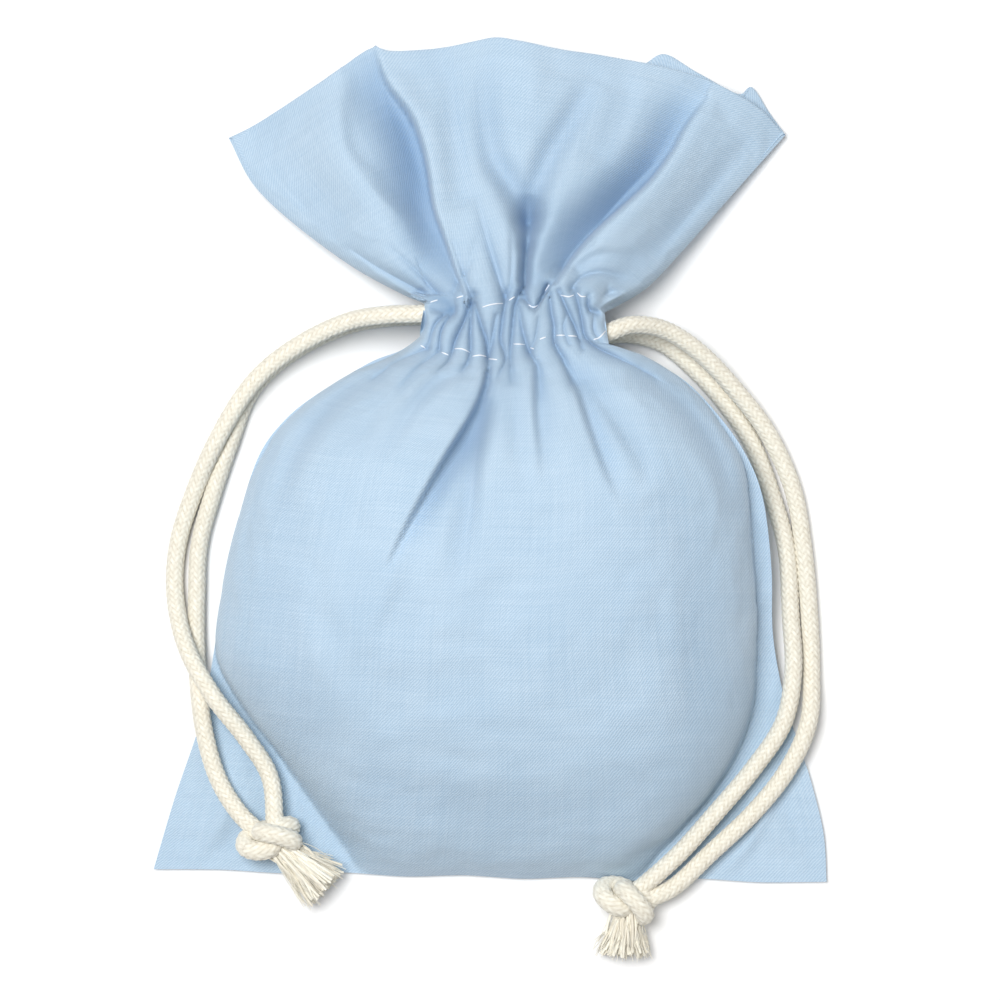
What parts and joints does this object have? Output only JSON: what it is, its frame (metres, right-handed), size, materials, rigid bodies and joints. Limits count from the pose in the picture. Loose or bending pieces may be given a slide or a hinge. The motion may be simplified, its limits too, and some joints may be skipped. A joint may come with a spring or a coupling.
{
  "type": "drawstring gift sack",
  "caption": "Filled cotton gift sack with a gathered drawcord casing, a fanned open frill and knotted, frayed cord ends.",
  "frame": {"origin": "on the surface the sack lies on, at the middle of the sack without its cords", "axes": "+X across the sack to its right as its front is seen, +Y from the bottom seam to the mouth, +Z out of its front face"},
  "size_m": [0.15, 0.2084, 0.0441],
  "materials": {
    "cotton_twill": "fine woven twill, matt",
    "twill_lining": "back of the same twill, matt",
    "sewing_thread": "twisted thread, slight sheen",
    "cotton_cord": "braided natural cotton, matt"
  },
  "bodies": {
    "sack": {"front_panel": "cotton_twill", "back_panel": "cotton_twill", "left_side_seam": "cotton_twill", "right_side_seam": "cotton_twill", "bottom_seam": "cotton_twill", "front_casing": "cotton_twill", "back_casing": "cotton_twill", "front_facing": "twill_lining", "back_facing": "twill_lining", "front_upper_stitching": "sewing_thread", "front_lower_stitching": "sewing_thread", "back_upper_stitching": "sewing_thread", "back_lower_stitching": "sewing_thread"},
    "frill": {"front_frill": "cotton_twill", "back_frill": "cotton_twill", "left_frill_seam": "cotton_twill", "right_frill_seam": "cotton_twill"},
    "left_cord": {"left_cord_loop": "cotton_cord", "left_front_strand": "cotton_cord", "left_back_strand": "cotton_cord", "left_knot": "cotton_cord", "left_tassel": "cotton_cord"},
    "right_cord": {"right_cord_loop": "cotton_cord", "right_front_strand": "cotton_cord", "right_back_strand": "cotton_cord", "right_knot": "cotton_cord", "right_tassel": "cotton_cord"}
  },
  "joints": [
    {"name": "frill_lift", "type": "hinge", "parent": "sack", "child": "frill", "pos_m": [0.005, 0.0359, 0.024], "axis": [1, 0, 0], "range_deg": [0, 35]},
    {"name": "left_cord_pull", "type": "slide", "parent": "sack", "child": "left_cord", "axis": [-1, 0, 0], "range_m": [0, 0.006]},
    {"name": "right_cord_pull", "type": "slide", "parent": "sack", "child": "right_cord", "axis": [1, 0, 0], "range_m": [0, 0.006]}
  ]
}
